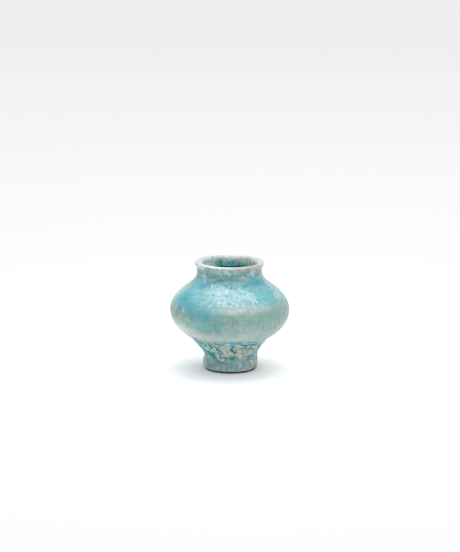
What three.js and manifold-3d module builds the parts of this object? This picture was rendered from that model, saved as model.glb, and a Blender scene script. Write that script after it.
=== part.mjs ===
// A small hand-thrown jar on a pedestal foot, with a turquoise glaze.
//
// The clay is made in three thrown pieces, a foot, a belly and a collar with an everted lip, luted
// together with slip. A glaze coat is poured inside, and another coat runs over the lip and down
// the outside to a ragged edge just above the resting ring, where the fired clay shows.
//
// Millimetres, +Z up. The origin is on the jar's axis in the plane that it stands on, and the
// viewer of the front looks along +Y.

import * as THREE from "three";
import { mergeVertices } from "three/addons/utils/BufferGeometryUtils.js";
import Module from "manifold-3d";

const wasm = await Module();
wasm.setup();

// Driving dimensions of the clay, outside. Heights of the foot are measured up from the plane that
// the jar stands on, and those of the lip, collar and shoulder down from the crest.

const clayHeight = 72.45; // at the crest, the highest ring of the lip
const padRadius = 18.05; // widest part of the foot pad
const padHeight = 4.3;
const waistRadius = 16.65; // narrowest part, between the pad and the belly
const waistRise = 5.3; // from the pad's widest part up to the waist
const flareRadius = 24.75; // where the stem has opened out into the underside of the belly
const flareRise = 12.0; // from the waist
const bellyRadius = 39.2; // widest part of the jar
const bellyHeight = 40.6; // level of the widest part
const shoulderRadius = 24.1; // where the shoulder turns up into the collar
const shoulderDrop = 8.5; // from the narrowest part of the collar
const collarRadius = 20.74; // narrowest part of the collar, under the lip
const collarDrop = 4.5; // from the lip's widest part
const lipOverhang = 2.04; // the lip is this much wider than the collar, all round
const lipDrop = 0.25; // from the crest down to the lip's widest part
const crestInset = 1.38; // the crest lies this far inside the lip's widest part

// Driving dimensions of the clay, inside

const collarWall = 2.84;
const mouthFlare = 0.65; // the mouth is this much wider than the throat, all round
const mouthDrop = 1.85; // from the crest down to the mouth's edge, where the two glaze coats meet
const throatDrop = 5.4; // from the mouth's edge down to the narrowest part of the way in
const shoulderWall = 3.8; // these three walls are measured square to the surface
const bellyWall = 4.0;
const flareWall = 4.6;
const floorThickness = 4.0; // on the axis

// The underside of the foot, turned out to leave a ring

const ringInset = 1.15; // the ring's outer edge lies this far inside the pad's widest part
const ringWidth = 4.3;
const ringEdge = 0.9; // softened edge where the side of the pad meets the ring
const recessTaper = 0.7; // the recess narrows by this much on its way up
const recessDepth = 4.9;
const recessDome = 0.5; // the ceiling is this much higher on the axis
const domeShares = [0, 0.5, 1]; // places on the ceiling, as shares of its radius

// The two luted joints

const footJointRise = 2.4; // from the waist
const collarJointRise = 2.45; // from the shoulder
const slipThickness = 0.4;

// Radii and heights that follow

const restRadius = padRadius - ringInset;
const ringInnerRadius = restRadius - ringWidth;
const recessRadius = ringInnerRadius - recessTaper;
const waistHeight = padHeight + waistRise;
const flareHeight = waistHeight + flareRise;
const lipRadius = collarRadius + lipOverhang;
const crestRadius = lipRadius - crestInset;
const lipHeight = clayHeight - lipDrop;
const collarHeight = lipHeight - collarDrop;
const shoulderHeight = collarHeight - shoulderDrop;
const throatRadius = collarRadius - collarWall;
const mouthRadius = throatRadius + mouthFlare;
const mouthHeight = clayHeight - mouthDrop;
const throatHeight = mouthHeight - throatDrop;
const footTop = waistHeight + footJointRise - slipThickness / 2;
const bellyBottom = footTop + slipThickness;
const floorHeight = bellyBottom + floorThickness;
const bellyTop = shoulderHeight + collarJointRise - slipThickness / 2;
const collarBottom = bellyTop + slipThickness;

// Glaze, measured square to the clay

const glazeAtFoot = 0.75;
const glazeAtWaist = 1.05; // it gathers here as it runs
const glazeAtFlare = 0.9;
const glazeAtBelly = 0.8;
const glazeAtShoulder = 0.75;
const glazeAtCollar = 0.7;
const glazeAtLip = 0.55;
const glazeAtMouth = 0.45;
const glazeAtThroat = 0.45;
const glazeInside = 0.5; // on the walls inside
const glazePool = 1.6; // on the inside floor, where it gathers

// Edge of the outside glaze on the foot: a level, and bare notches that rise above it

const glazeEdgeHeight = 1.3;
const bareNotches = [
  { at: 66, halfWidth: 25, riseShare: 1.0 },
  { at: 128, halfWidth: 12, riseShare: 0.22 },
  { at: 205, halfWidth: 16, riseShare: 0.4 },
  { at: 251, halfWidth: 9, riseShare: 0.16 },
  { at: 318, halfWidth: 11, riseShare: 0.12 },
];
const notchRise = 6.8; // height of the tallest bare notch above the level edge
const notchSquareness = 4; // 2 would be a rounded notch, and more makes its sides steeper

// Headings of the outline at its slanting stations, in degrees from the horizontal

const ringSlope = 50;
const flareSlope = 50;
const shoulderSlope = 50;

// Fineness

const turns = 40; // facets round the axis
const edgeTurns = 80; // facets along the wavy edge of the outside glaze
const overrun = 1; // how far a cutting shape runs past what it cuts

// Directions in the half plane of an outline, as radius and height

const up = new THREE.Vector2(0, 1);
const inward = new THREE.Vector2(-1, 0);
const down = new THREE.Vector2(0, -1);
const slant = (degrees) =>
  new THREE.Vector2(
    Math.cos(THREE.MathUtils.degToRad(degrees)),
    Math.sin(THREE.MathUtils.degToRad(degrees)),
  );

// A station that an outline passes through, its heading there and the glaze on it.
function station(radius, height, heading, glaze) {
  return { at: new THREE.Vector2(radius, height), heading, glaze };
}

// Points of an outline through a list of stations. Between two stations it is one cubic curve,
// whose handles are shares of the straight distance. Each point carries the direction that
// faces out of the clay, a quarter turn clockwise from the heading, and its glaze thickness.
function outlineThrough(stations, stretches) {
  const points = [];
  stretches.forEach(({ leaveShare, arriveShare, steps }, i) => {
    const from = stations[i];
    const to = stations[i + 1];
    const span = from.at.distanceTo(to.at);
    const curve = new THREE.CubicBezierCurve(
      from.at,
      from.at.clone().addScaledVector(from.heading, span * leaveShare),
      to.at.clone().addScaledVector(to.heading, -span * arriveShare),
      to.at,
    );
    for (let step = i === 0 ? 0 : 1; step <= steps; step += 1) {
      const share = step / steps;
      const along = curve.getTangent(share);
      points.push({
        at: curve.getPoint(share),
        out: new THREE.Vector2(along.y, -along.x),
        glaze: THREE.MathUtils.lerp(from.glaze, to.glaze, share),
      });
    }
  });
  return points;
}

// The glazed face of an outline: each point moved out by its glaze thickness.
const glazedFace = (outline) => outline.map((p) => p.at.clone().addScaledVector(p.out, p.glaze));

const clayFace = (outline) => outline.map((p) => p.at.clone());

// The part of an outline between two heights, with a point on each height.
function between(points, low, high) {
  const kept = [];
  points.forEach((point, i) => {
    const previous = points[i - 1];
    if (previous) {
      const levels = [low, high].filter((level) => (previous.y - level) * (point.y - level) < 0);
      levels.sort((a, b) => (a - b) * Math.sign(point.y - previous.y));
      levels.forEach((level) => {
        kept.push(previous.clone().lerp(point, (level - previous.y) / (point.y - previous.y)));
        kept[kept.length - 1].y = level;
      });
    }
    if (point.y >= low && point.y <= high) kept.push(point);
  });
  return kept;
}

// A solid of revolution. The profile runs anticlockwise, with radius to the right and height up,
// and either starts and ends on the axis or is closed here.
function turned(profile) {
  const onAxis = profile[0].x === 0 && profile[profile.length - 1].x === 0;
  const closed = onAxis ? profile : [...profile, profile[0]];
  return new THREE.LatheGeometry(closed, turns).rotateX(Math.PI / 2);
}

// A closed geometry as a solid that can be cut, and the way back.
function solidOf(geometry) {
  const bare = new THREE.BufferGeometry();
  bare.setAttribute("position", geometry.getAttribute("position"));
  bare.setIndex(geometry.getIndex());
  const merged = mergeVertices(bare);
  return new wasm.Manifold(
    new wasm.Mesh({
      numProp: 3,
      vertProperties: merged.getAttribute("position").array,
      triVerts: new Uint32Array(merged.getIndex().array),
    }),
  );
}

function geometryOf(solid) {
  const mesh = solid.getMesh();
  const geometry = new THREE.BufferGeometry();
  geometry.setAttribute("position", new THREE.BufferAttribute(mesh.vertProperties, mesh.numProp));
  geometry.setIndex(new THREE.BufferAttribute(mesh.triVerts, 1));
  geometry.computeVertexNormals();
  return geometry;
}

// Outside of the clay, from the resting ring up and over the lip to the mouth

const outside = outlineThrough(
  [
    station(restRadius + ringEdge / 2, ringEdge / 2, slant(ringSlope), glazeAtFoot),
    station(padRadius, padHeight, up, glazeAtFoot),
    station(waistRadius, waistHeight, up, glazeAtWaist),
    station(flareRadius, flareHeight, slant(flareSlope), glazeAtFlare),
    station(bellyRadius, bellyHeight, up, glazeAtBelly),
    station(shoulderRadius, shoulderHeight, slant(180 - shoulderSlope), glazeAtShoulder),
    station(collarRadius, collarHeight, up, glazeAtCollar),
    station(lipRadius, lipHeight, up, glazeAtLip),
    station(crestRadius, clayHeight, inward, glazeAtLip),
    station(mouthRadius, mouthHeight, down, glazeAtMouth),
  ],
  [
    { leaveShare: 0.35, arriveShare: 0.4, steps: 2 },
    { leaveShare: 0.36, arriveShare: 0.38, steps: 3 },
    { leaveShare: 0.27, arriveShare: 0.18, steps: 4 },
    { leaveShare: 0.09, arriveShare: 0.5, steps: 8 },
    { leaveShare: 0.41, arriveShare: 0.06, steps: 7 },
    { leaveShare: 0.52, arriveShare: 0.47, steps: 4 },
    { leaveShare: 0.46, arriveShare: 0.22, steps: 3 },
    { leaveShare: 0.16, arriveShare: 0.6, steps: 3 },
    { leaveShare: 0.5, arriveShare: 0.5, steps: 2 },
  ],
);

// Inside of the clay, from the mouth down to the middle of the floor

const wallInside = (radius, height, slopeOut, wall) =>
  new THREE.Vector2(radius, height).addScaledVector(slopeOut, -wall);

const shoulderInside = wallInside(
  shoulderRadius,
  shoulderHeight,
  slant(90 - shoulderSlope),
  shoulderWall,
);
const flareInside = wallInside(flareRadius, flareHeight, slant(flareSlope - 90), flareWall);

const inside = outlineThrough(
  [
    station(mouthRadius, mouthHeight, down, glazeAtMouth),
    station(throatRadius, throatHeight, down, glazeAtThroat),
    station(shoulderInside.x, shoulderInside.y, slant(-shoulderSlope), glazeInside),
    station(bellyRadius - bellyWall, bellyHeight, down, glazeInside),
    station(flareInside.x, flareInside.y, slant(flareSlope - 180), glazeInside),
    station(0, floorHeight, inward, glazePool),
  ],
  [
    { leaveShare: 0.3, arriveShare: 0.35, steps: 2 },
    { leaveShare: 0.45, arriveShare: 0.3, steps: 2 },
    { leaveShare: 0.12, arriveShare: 0.42, steps: 5 },
    { leaveShare: 0.5, arriveShare: 0.12, steps: 4 },
    { leaveShare: 0.3, arriveShare: 0.5, steps: 3 },
  ],
);

const outsideClay = clayFace(outside);
const insideClay = clayFace(inside);
insideClay[insideClay.length - 1].x = 0; // the last point is exactly on the axis
const crest = clayHeight + glazeAtLip;

// Clay pieces

const axisPoint = (height) => new THREE.Vector2(0, height);

function footGeometry() {
  const ceilingRadius = recessRadius - ringEdge;
  const ceiling = domeShares.map(
    (share) => new THREE.Vector2(ceilingRadius * share, recessDepth + recessDome * (1 - share ** 2)),
  );
  const ring = [
    new THREE.Vector2(recessRadius, recessDepth - ringEdge),
    new THREE.Vector2(ringInnerRadius, 0),
    new THREE.Vector2(restRadius, 0),
  ];
  const side = between(outsideClay, 0, footTop);
  return turned([...ceiling, ...ring, ...side, axisPoint(footTop)]);
}

function bellyGeometry() {
  return turned([
    axisPoint(bellyBottom),
    ...between(outsideClay, bellyBottom, bellyTop),
    ...between(insideClay, 0, bellyTop),
  ]);
}

function collarGeometry() {
  const insideCollar = between(insideClay, collarBottom, crest);
  return turned([...between(outsideClay, collarBottom, crest), ...insideCollar.slice(1)]);
}

// Slip, the liquid clay that fills each joint

function footSlipGeometry() {
  const rim = between(outsideClay, footTop, bellyBottom);
  return turned([axisPoint(footTop), ...rim, axisPoint(bellyBottom)]);
}

function collarSlipGeometry() {
  return turned([
    ...between(outsideClay, bellyTop, collarBottom),
    ...between(insideClay, bellyTop, collarBottom),
  ]);
}

// Glaze coats

// Height of the outside coat's lower edge at an angle, in degrees from the front, going right.
function edgeHeight(angle) {
  const rise = bareNotches.reduce((sum, notch) => {
    const away = THREE.MathUtils.euclideanModulo(angle - notch.at + 180, 360) - 180;
    return sum + notch.riseShare * Math.exp(-((Math.abs(away) / notch.halfWidth) ** notchSquareness));
  }, 0);
  return glazeEdgeHeight + notchRise * rise;
}

// A ring-shaped block under the wavy edge, which trims the outside coat.
function edgeTrimmer() {
  const innerRadius = waistRadius - overrun;
  const outerRadius = padRadius + glazeAtWaist + overrun;
  const corners = [
    new THREE.Vector2(innerRadius, -overrun),
    new THREE.Vector2(outerRadius, -overrun),
    new THREE.Vector2(outerRadius, glazeEdgeHeight),
    new THREE.Vector2(innerRadius, glazeEdgeHeight),
    new THREE.Vector2(innerRadius, -overrun),
  ];
  const block = new THREE.LatheGeometry(corners, edgeTurns).rotateX(Math.PI / 2);
  const place = block.getAttribute("position");
  for (let i = 0; i < place.count; i += 1) {
    const fromFront = THREE.MathUtils.radToDeg(Math.atan2(place.getX(i), -place.getY(i)));
    if (place.getZ(i) > 0) place.setZ(i, edgeHeight(fromFront));
  }
  return solidOf(block);
}

function outsideGlazeGeometry() {
  const coat = turned([...glazedFace(outside), ...outsideClay.slice().reverse()]);
  return geometryOf(solidOf(coat).subtract(edgeTrimmer()));
}

function insideGlazeGeometry() {
  const face = glazedFace(inside);
  face[face.length - 1].x = 0;
  return turned([...insideClay.slice().reverse(), ...face]);
}

// Materials

const firedClay = () =>
  new THREE.MeshStandardMaterial({ color: 0xb9a99f, roughness: 0.9, metalness: 0 });
const driedSlip = () =>
  new THREE.MeshStandardMaterial({ color: 0xa8988c, roughness: 0.95, metalness: 0 });
const turquoiseGlaze = () =>
  new THREE.MeshStandardMaterial({ color: 0x86b9bc, roughness: 0.35, metalness: 0 });

// Assembly

const jar = new THREE.Group();

function add(name, geometry, material) {
  const piece = new THREE.Mesh(geometry, material);
  piece.name = name;
  jar.add(piece);
}

add("pedestal_foot", footGeometry(), firedClay());
add("foot_luting_slip", footSlipGeometry(), driedSlip());
add("belly_wall", bellyGeometry(), firedClay());
add("collar_luting_slip", collarSlipGeometry(), driedSlip());
add("collar_and_lip", collarGeometry(), firedClay());
add("outside_glaze", outsideGlazeGeometry(), turquoiseGlaze());
add("inside_glaze", insideGlazeGeometry(), turquoiseGlaze());

export default jar;
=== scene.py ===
"""A small hand-thrown jar with a weathered turquoise glaze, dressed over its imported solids."""

import math

import bmesh
import bpy
import numpy as np
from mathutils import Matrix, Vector, noise


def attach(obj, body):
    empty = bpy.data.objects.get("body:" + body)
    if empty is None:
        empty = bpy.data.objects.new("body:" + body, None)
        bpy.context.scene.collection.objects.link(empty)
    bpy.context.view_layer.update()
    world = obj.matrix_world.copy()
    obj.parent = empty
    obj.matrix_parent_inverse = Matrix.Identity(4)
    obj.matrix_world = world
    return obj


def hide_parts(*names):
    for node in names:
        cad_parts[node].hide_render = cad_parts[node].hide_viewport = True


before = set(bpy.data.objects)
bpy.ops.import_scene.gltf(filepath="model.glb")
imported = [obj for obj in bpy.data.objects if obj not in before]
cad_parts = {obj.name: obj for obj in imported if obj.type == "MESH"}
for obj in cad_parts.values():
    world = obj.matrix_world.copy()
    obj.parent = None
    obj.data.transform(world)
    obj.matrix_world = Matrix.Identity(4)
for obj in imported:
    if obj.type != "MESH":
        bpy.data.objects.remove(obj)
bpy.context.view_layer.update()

# Foot
# The thrown and turned pedestal foot, in a pinkish buff clay that shows where the glaze stops: on
# the ring that the jar stands on, in the turned recess under it and in the bare notches. Its
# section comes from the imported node, and its surface gets turning marks, grit and small chips.

mm = 0.001
weld = 0.001 * mm
turns = 360  # faces round the axis
sectors = 12  # a turned shape is spun once as a sector, which is then repeated
foot_step = 0.45 * mm  # between the points of its outline
foot_inset = 0.1 * mm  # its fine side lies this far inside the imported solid
foot_grit = 0.05 * mm
foot_grit_size = 0.9 * mm
turning_pitch = 1.3 * mm
turning_depth = 0.03 * mm
ring_inner = 12.6 * mm  # the radii of the ring that it stands on
ring_outer = 16.9 * mm
recess_radius = 12.5 * mm
recess_height = 6 * mm
side_radius = 15 * mm
glaze_start = (10 * mm, 11 * mm)  # its marks end between these heights, under the glaze
chip_depth = 0.35 * mm
chip_width = 0.8 * mm
chip_height = 1.2 * mm
# Painted contact shade: the heights and radii of a dark band along the outer edge of the ring.
contact_shade_heights = (0.6 * mm, 1.5 * mm)
contact_shade_radii = (15.6 * mm, 16.6 * mm)
# Chips round the foot: angle and half width in degrees.
chips = [(-71, 3.5), (18, 2.2), (47, 3.0), (118, 4.0), (163, 2.4), (214, 3.2), (262, 2.0)]

# How far the whole pot is from true: its lip dips and has a dent at the back, and its axis wanders.
# Angles are in degrees from the front going right. A pair is where a change starts and where it ends.
lip_dip = 0.5 * mm  # how far the lip's lowest place lies under its highest
lip_top = -155
lip_dent = 0.55 * mm
lip_dent_at = 176
lip_dent_half = 13
lip_wave = 0.02 * mm
lip_part = (62.2 * mm, 71.5 * mm)
lean_right = 0.25 * mm
lean_foot = 0.45 * mm  # further right, below the stem
stem_part = (8 * mm, 12 * mm)
lean_back = 0.3 * mm
belly_part = (24 * mm, 46 * mm)
lean_left = 0.15 * mm
collar_part = (56 * mm, 66 * mm)
out_of_round = 0.025 * mm
round_part = (1 * mm, 20 * mm)
collar_swell = 0.3 * mm
swell_starts = (57 * mm, 61 * mm)
swell_ends = (68 * mm, 71 * mm)


def section(name):
    """A node's cut outline in the half plane that faces the viewer, as (radius, height) in order."""
    solid = bmesh.new()
    solid.from_mesh(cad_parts[name].data)
    bmesh.ops.remove_doubles(solid, verts=solid.verts, dist=weld)
    everything = [*solid.verts, *solid.edges, *solid.faces]
    across = (1, 0, 0)
    cut = bmesh.ops.bisect_plane(
        solid, geom=everything, plane_co=(0, 0, 0), plane_no=across, dist=weld
    )["geom_cut"]
    near = {v for v in cut if isinstance(v, bmesh.types.BMVert) and v.co.y < weld}
    beside = {v: [e.other_vert(v) for e in v.link_edges if e.other_vert(v) in near] for v in near}
    ends = [v for v in near if len(beside[v]) == 1]
    walk = [min(ends or near, key=lambda v: (round(v.co.z / weld), v.co.y))]
    while True:
        onward = [v for v in beside[walk[-1]] if v not in walk]
        if not onward:
            break
        walk.append(max(onward, key=lambda v: v.co.z) if len(walk) == 1 else onward[0])
    outline = np.array([(abs(v.co.y), v.co.z) for v in walk])
    solid.free()
    return outline


def evenly(points, step):
    """The same straight-sided outline with a point at least every step."""
    spans = np.hypot(*np.diff(points, axis=0).T)
    finer = [
        points[i] + (points[i + 1] - points[i]) * part
        for i, span in enumerate(spans)
        for part in np.arange(math.ceil(span / step)) / math.ceil(span / step)
    ]
    return np.array([*finer, points[-1]])


def smoothly(points, step, first_step=None, first_run=0):
    """A smooth curve through the points, as new points a step apart, or closer over a first run."""
    along = np.append(0, np.cumsum(np.hypot(*np.diff(points, axis=0).T)))
    slopes = np.gradient(points, along, axis=0, edge_order=2)
    places = np.linspace(first_run, along[-1], math.ceil((along[-1] - first_run) / step) + 1)
    if first_run:
        places = np.append(np.linspace(0, first_run, math.ceil(first_run / first_step))[:-1], places)
    i = np.clip(np.searchsorted(along, places, side="right") - 1, 0, len(points) - 2)
    span = (along[i + 1] - along[i])[:, None]
    t = (places - along[i])[:, None] / span
    return (
        points[i] * (1 + 2 * t) * (1 - t) ** 2
        + slopes[i] * span * t * (1 - t) ** 2
        + points[i + 1] * t * t * (3 - 2 * t)
        - slopes[i + 1] * span * t * t * (1 - t)
    )


def placed(name, data):
    """A new object in the scene."""
    made = bpy.data.objects.new(name, data)
    bpy.context.scene.collection.objects.link(made)
    return made


def turned(name, outline, closed):
    """A fine solid turned from an outline. Each vertex keeps the number of its outline point."""
    shell = bmesh.new()
    number = shell.verts.layers.float.new("number")
    row = [shell.verts.new((0, -radius, height)) for radius, height in outline]
    for i, vertex in enumerate(row):
        vertex[number] = i
    links = list(zip(row, row[1:])) + ([(row[-1], row[0])] if closed else [])
    edges = [shell.edges.new(pair) for pair in links]
    about = {"axis": (0, 0, 1), "cent": (0, 0, 0), "dvec": (0, 0, 0)}
    sector = 2 * math.pi / sectors
    bmesh.ops.spin(shell, geom=row + edges, angle=sector, steps=turns // sectors, **about)
    everything = [*shell.verts, *shell.edges, *shell.faces]
    bmesh.ops.spin(
        shell, geom=everything, angle=2 * math.pi - sector, steps=sectors - 1, use_duplicate=True,
        **about,
    )
    bmesh.ops.remove_doubles(shell, verts=shell.verts, dist=weld)
    bmesh.ops.recalc_face_normals(shell, faces=shell.faces)
    mesh = bpy.data.meshes.new(name)
    shell.to_mesh(mesh)
    shell.free()
    return placed(name, mesh)


def vertices_of(piece):
    """Outline number, angle in degrees from the front going right, radius and height of each vertex."""
    mesh = piece.data
    place = np.empty(3 * len(mesh.vertices), np.float32)
    number = np.empty(len(mesh.vertices), np.float32)
    mesh.vertices.foreach_get("co", place)
    mesh.attributes["number"].data.foreach_get("value", number)
    x, y, z = place.reshape(-1, 3).astype(float).T
    return np.rint(number).astype(int), np.degrees(np.arctan2(x, -y)), np.hypot(x, y), z


def move(piece, angle, radius, height, corner_angle=50):
    """Puts the vertices at their new places and shades the piece smooth, except at corners."""
    place = places_of(angle, radius, height)
    piece.data.vertices.foreach_set("co", place.astype(np.float32).ravel())
    piece.data.shade_smooth()
    piece.data.set_sharp_from_angle(angle=math.radians(corner_angle))
    piece.data.update()


def store(piece, name, values):
    """Keeps a value or a colour for each vertex under a name that a material can read."""
    kind, part = ("FLOAT", "value") if values.ndim == 1 else ("FLOAT_COLOR", "color")
    layer = piece.data.attributes.new(name, kind, "POINT")
    layer.data.foreach_set(part, values.astype(np.float32).ravel())


def places_of(angle, radius, height):
    """The x, y and z of points that are given by angle, radius and height."""
    turn = np.radians(angle)
    return np.stack([radius * np.sin(turn), -radius * np.cos(turn), height], 1)


def uneven(places, size, octaves=3, seed=0):
    """Rough noise from about -1 to 1 at each place, with features of about the given size."""
    spots = places / size + 17.3 * seed
    return np.array([noise.fractal(Vector(spot), 1.0, 2.0, octaves) for spot in spots])


def away_from(angle, centre):
    """Degrees from one angle to others, the short way round."""
    return (angle - centre + 180) % 360 - 180


def rise(value, low, high):
    """From 0 below the low value to 1 above the high one, with soft ends."""
    part = np.clip((value - low) / (high - low), 0, 1)
    return part * part * (3 - 2 * part)


def fall(value, low, high):
    """From 1 below the low value to 0 above the high one, with soft ends."""
    return rise(-value, -high, -low)


def by_hand(angle, radius, height):
    """Radius and height with the unevenness of a pot thrown by hand. It leans a little, and its lip
    is highest at the back left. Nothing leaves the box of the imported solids."""
    turn = np.radians(angle)
    lift = -lip_dip * (1 - np.cos(np.radians(away_from(angle, lip_top)))) / 2
    lift = lift - lip_wave * (1 + np.cos(3 * turn + 0.4))
    lift = lift - lip_dent * np.exp(-((away_from(angle, lip_dent_at) / lip_dent_half) ** 2))
    lean = lean_right + lean_foot * fall(height, *stem_part)
    lean = lean - lean_back * rise(height, *belly_part)
    lean = lean - lean_left * rise(height, *collar_part)
    round_off = out_of_round * (np.cos(2 * turn - 1.1) + 0.7 * np.cos(3 * turn + 2.0) - 1.7)
    round_off = round_off * rise(height, *round_part)
    swell = collar_swell * rise(height, *swell_starts) * fall(height, *swell_ends)
    radius = radius + round_off + swell + lean * np.sin(turn)
    return radius, height + lift * rise(height, *lip_part)


foot_outline = evenly(section("pedestal_foot"), foot_step)
foot = turned("turned_clay_foot", foot_outline, closed=False)
number, angle, radius, height = vertices_of(foot)
place = places_of(angle, radius, height)
buried = rise(height, *glaze_start)
grit = uneven(place, foot_grit_size, 3, seed=1)
turning = np.sin(2 * math.pi * (radius - height) / turning_pitch + np.radians(angle))
inset = foot_grit * grit + turning_depth * turning
chip = sum(
    np.exp(-((away_from(angle, at) / half) ** 2)) * np.exp(-(((radius - ring_outer) / chip_width) ** 2))
    for at, half in chips
) * fall(height, 0, chip_height)
on_ring = (height < 0.05 * mm) & (radius > ring_inner) & (radius < ring_outer)
side = (radius > side_radius) & (height > 0.3 * mm)
under = (radius < recess_radius) & (height < recess_height)
radius = radius + np.where(side, (inset - foot_inset) * (1 - buried), 0) - chip_depth * chip
height = height + np.where(under, inset, 0) + np.where(on_ring, np.abs(inset) * 0.6, 0)
height = np.maximum(height + 0.5 * chip_depth * chip, 0)
radius, height = by_hand(angle, radius, height)
move(foot, angle, radius, height, corner_angle=60)
# Painted contact shade along the outer edge of the ring, and the turned recess a little darker.
painted_contact_shade = fall(height, *contact_shade_heights) * rise(radius, *contact_shade_radii)
recess_darkening = 0.15 * fall(radius, 11.5 * mm, recess_radius) * rise(height, 0, 1 * mm)
store(foot, "contact_shade_and_darkening", np.maximum(painted_contact_shade, recess_darkening))


def paint(red, green, blue):
    """A colour as read off a swatch, each part from 0 to 255, in the shader's terms."""
    parts = [part / 255 for part in (red, green, blue)]
    return [p / 12.92 if p <= 0.04045 else ((p + 0.055) / 1.055) ** 2.4 for p in parts] + [1]


def finish(name):
    """A new material: its node tree, its shader and its place on the piece in metres."""
    material = bpy.data.materials.new(name)
    material.use_nodes = True
    tree = material.node_tree
    place = tree.nodes.new("ShaderNodeTexCoord").outputs["Object"]
    return material, tree, tree.nodes["Principled BSDF"], place


def node(tree, kind, inputs, **settings):
    """Adds one node. inputs gives each socket a value or the output of another node."""
    made = tree.nodes.new("ShaderNode" + kind)
    for name, value in settings.items():
        setattr(made, name, value)
    for socket, value in inputs.items():
        if isinstance(value, bpy.types.NodeSocket):
            tree.links.new(value, made.inputs[socket])
        else:
            made.inputs[socket].default_value = value
    return made


def mottle(tree, place, size, detail=3.0, stretch=(1, 1, 1), rough=0.5, seed=0.0):
    """Cloudy noise round 0.5, with features of a size in metres, longer where stretch is above 1."""
    scale = [1 / (size * s) for s in stretch]
    at = node(tree, "Mapping", {"Vector": place, "Scale": scale, "Location": [seed] * 3}).outputs[0]
    return node(
        tree, "TexNoise", {"Vector": at, "Scale": 1.0, "Detail": detail, "Roughness": rough}
    ).outputs[0]


def share(tree, value, low, high):
    """Turns a value into a share, 0 at low and 1 at high, with soft ends."""
    return node(
        tree, "MapRange", {"Value": value, "From Min": low, "From Max": high},
        interpolation_type="SMOOTHSTEP",
    ).outputs[0]


def blend(tree, amount, first, second, kind="MIX"):
    """A colour that goes from the first to the second by an amount."""
    return node(
        tree, "Mix", {0: amount, 6: first, 7: second}, data_type="RGBA", blend_type=kind
    ).outputs[2]


def reckon(tree, operation, *values):
    """A sum worked out in the shader."""
    return node(tree, "Math", dict(enumerate(values)), operation=operation).outputs[0]


def times(tree, first, second):
    """The product of two shares."""
    return reckon(tree, "MULTIPLY", first, second)


def scaled(tree, value, factor, added):
    """A value times a factor, and something added to it."""
    return reckon(tree, "MULTIPLY_ADD", value, factor, added)


def toned(tree, layers):
    """A grey tone round one half that is uneven by each noise times its amount."""
    tone = 0.5
    for level, amount in layers:
        tone = scaled(tree, reckon(tree, "SUBTRACT", level, 0.5), amount, tone)
    return tone


def surfaced(tree, shader, colour, roughness):
    """Gives the shader its colour and its roughness."""
    tree.links.new(colour, shader.inputs["Base Color"])
    tree.links.new(roughness, shader.inputs["Roughness"])


def raised(tree, shader, layers):
    """Raises the surface. Each layer is a height from 0 to 1 and its real depth in metres."""
    normal = None
    for level, depth in layers:
        bump = node(tree, "Bump", {"Height": level, "Distance": depth, "Strength": 1.0})
        if normal:
            tree.links.new(normal, bump.inputs["Normal"])
        normal = bump.outputs[0]
    tree.links.new(normal, shader.inputs["Normal"])


def fired_clay():
    """Pinkish grey clay, dusty and open, with darker grit, pale specks, a darker recess and painted
    contact shade.
    """
    material, tree, shader, place = finish("fired_clay")
    contact_shade_and_darkening = node(tree, "Attribute", {}, attribute_name="contact_shade_and_darkening").outputs["Fac"]
    cloud = mottle(tree, place, 5 * mm, 4)
    bands = mottle(tree, place, 1.6 * mm, 3, stretch=(8, 8, 0.6))
    grain = mottle(tree, place, 0.5 * mm, 4, rough=0.65)
    cells = node(tree, "TexVoronoi", {"Vector": place, "Scale": 1 / (0.7 * mm)}).outputs
    grit = share(tree, cells["Distance"], 0.3, 0.16)
    picked = node(tree, "SeparateColor", {0: cells["Color"]}).outputs
    colour = blend(tree, share(tree, cloud, 0.35, 0.65), paint(172, 167, 164), paint(154, 150, 149))
    colour = blend(tree, share(tree, bands, 0.45, 0.75), colour, paint(192, 185, 178))
    colour = blend(tree, share(tree, grain, 0.55, 0.75), colour, paint(130, 119, 114))
    dark = times(tree, grit, share(tree, picked[0], 0.8, 0.86))
    colour = blend(tree, dark, colour, paint(96, 86, 80))
    pale = times(tree, grit, share(tree, picked[1], 0.82, 0.88))
    colour = blend(tree, pale, colour, paint(214, 206, 196))
    # Painted contact shade along the ring and a darker recess, in a dark grey.
    shade_and_darkening = scaled(tree, grain, 0.5, reckon(tree, "SUBTRACT", contact_shade_and_darkening, 0.25))
    colour = blend(tree, share(tree, shade_and_darkening, 0.05, 0.7), colour, paint(50, 55, 52))
    surfaced(tree, shader, colour, scaled(tree, grain, 0.2, 0.78))
    shader.inputs["Specular IOR Level"].default_value = 0.25
    raised(tree, shader, [(bands, 0.12 * mm), (grain, 0.12 * mm), (grit, 0.06 * mm)])
    return material


clay = fired_clay()
foot.data.materials.append(clay)
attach(foot, "root")
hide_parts("pedestal_foot")

# Belly, collar and slip
# The thrown belly and the thrown collar with its everted lip, and the slip that joins them and the
# foot. All four are fired clay, hidden under the glaze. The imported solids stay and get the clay,
# but for the collar, whose lip is uneven and so is turned afresh.

collar_step = 1.2 * mm


def dried_slip():
    """The same clay laid on wet as slip, smoother and a little darker, with brush marks round it."""
    material, tree, shader, place = finish("dried_slip")
    cloud = mottle(tree, place, 3 * mm, 4)
    strokes = mottle(tree, place, 0.8 * mm, 3, stretch=(10, 10, 0.4))
    colour = blend(tree, share(tree, cloud, 0.35, 0.65), paint(172, 152, 138), paint(150, 130, 118))
    colour = blend(tree, share(tree, strokes, 0.5, 0.7), colour, paint(188, 170, 156))
    surfaced(tree, shader, colour, scaled(tree, strokes, 0.15, 0.8))
    raised(tree, shader, [(strokes, 0.05 * mm)])
    return material


slip = dried_slip()
for name, material in (("belly_wall", clay), ("foot_luting_slip", slip), ("collar_luting_slip", slip)):
    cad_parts[name].data.materials.clear()
    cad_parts[name].data.materials.append(material)

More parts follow.
